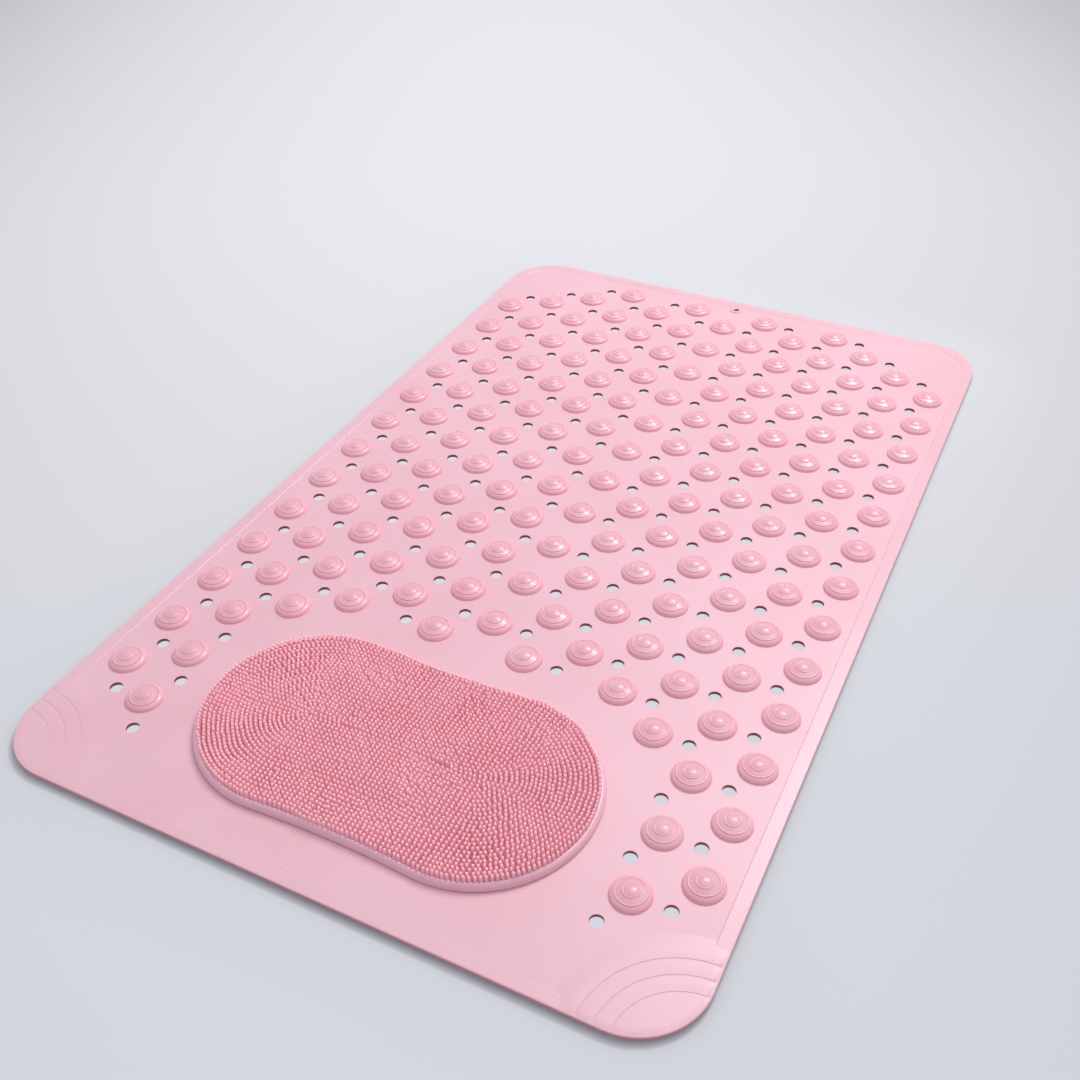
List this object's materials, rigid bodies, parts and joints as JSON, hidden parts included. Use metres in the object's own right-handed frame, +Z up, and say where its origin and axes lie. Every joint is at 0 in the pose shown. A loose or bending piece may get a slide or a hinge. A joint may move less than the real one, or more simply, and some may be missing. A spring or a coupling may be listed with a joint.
{
  "type": "shower foot scrubber mat",
  "caption": "Soft one-piece shower mat with a raised bristle pad that scrubs the feet, stepped massage domes over suction cups, drain holes and a hanging hole.",
  "frame": {"origin": "on the floor under the middle of the mat, in the plane of the suction cups' lips", "axes": "+X runs along the front edge to the right, +Y points from the edge with the bristle pad to the edge with the hanging hole, +Z points up out of the domes"},
  "size_m": [0.46, 0.755, 0.0137],
  "materials": {
    "scrubber_mat": "satin"
  },
  "bodies": {
    "root": {"scrubber_mat": "scrubber_mat"}
  },
  "joints": []
}
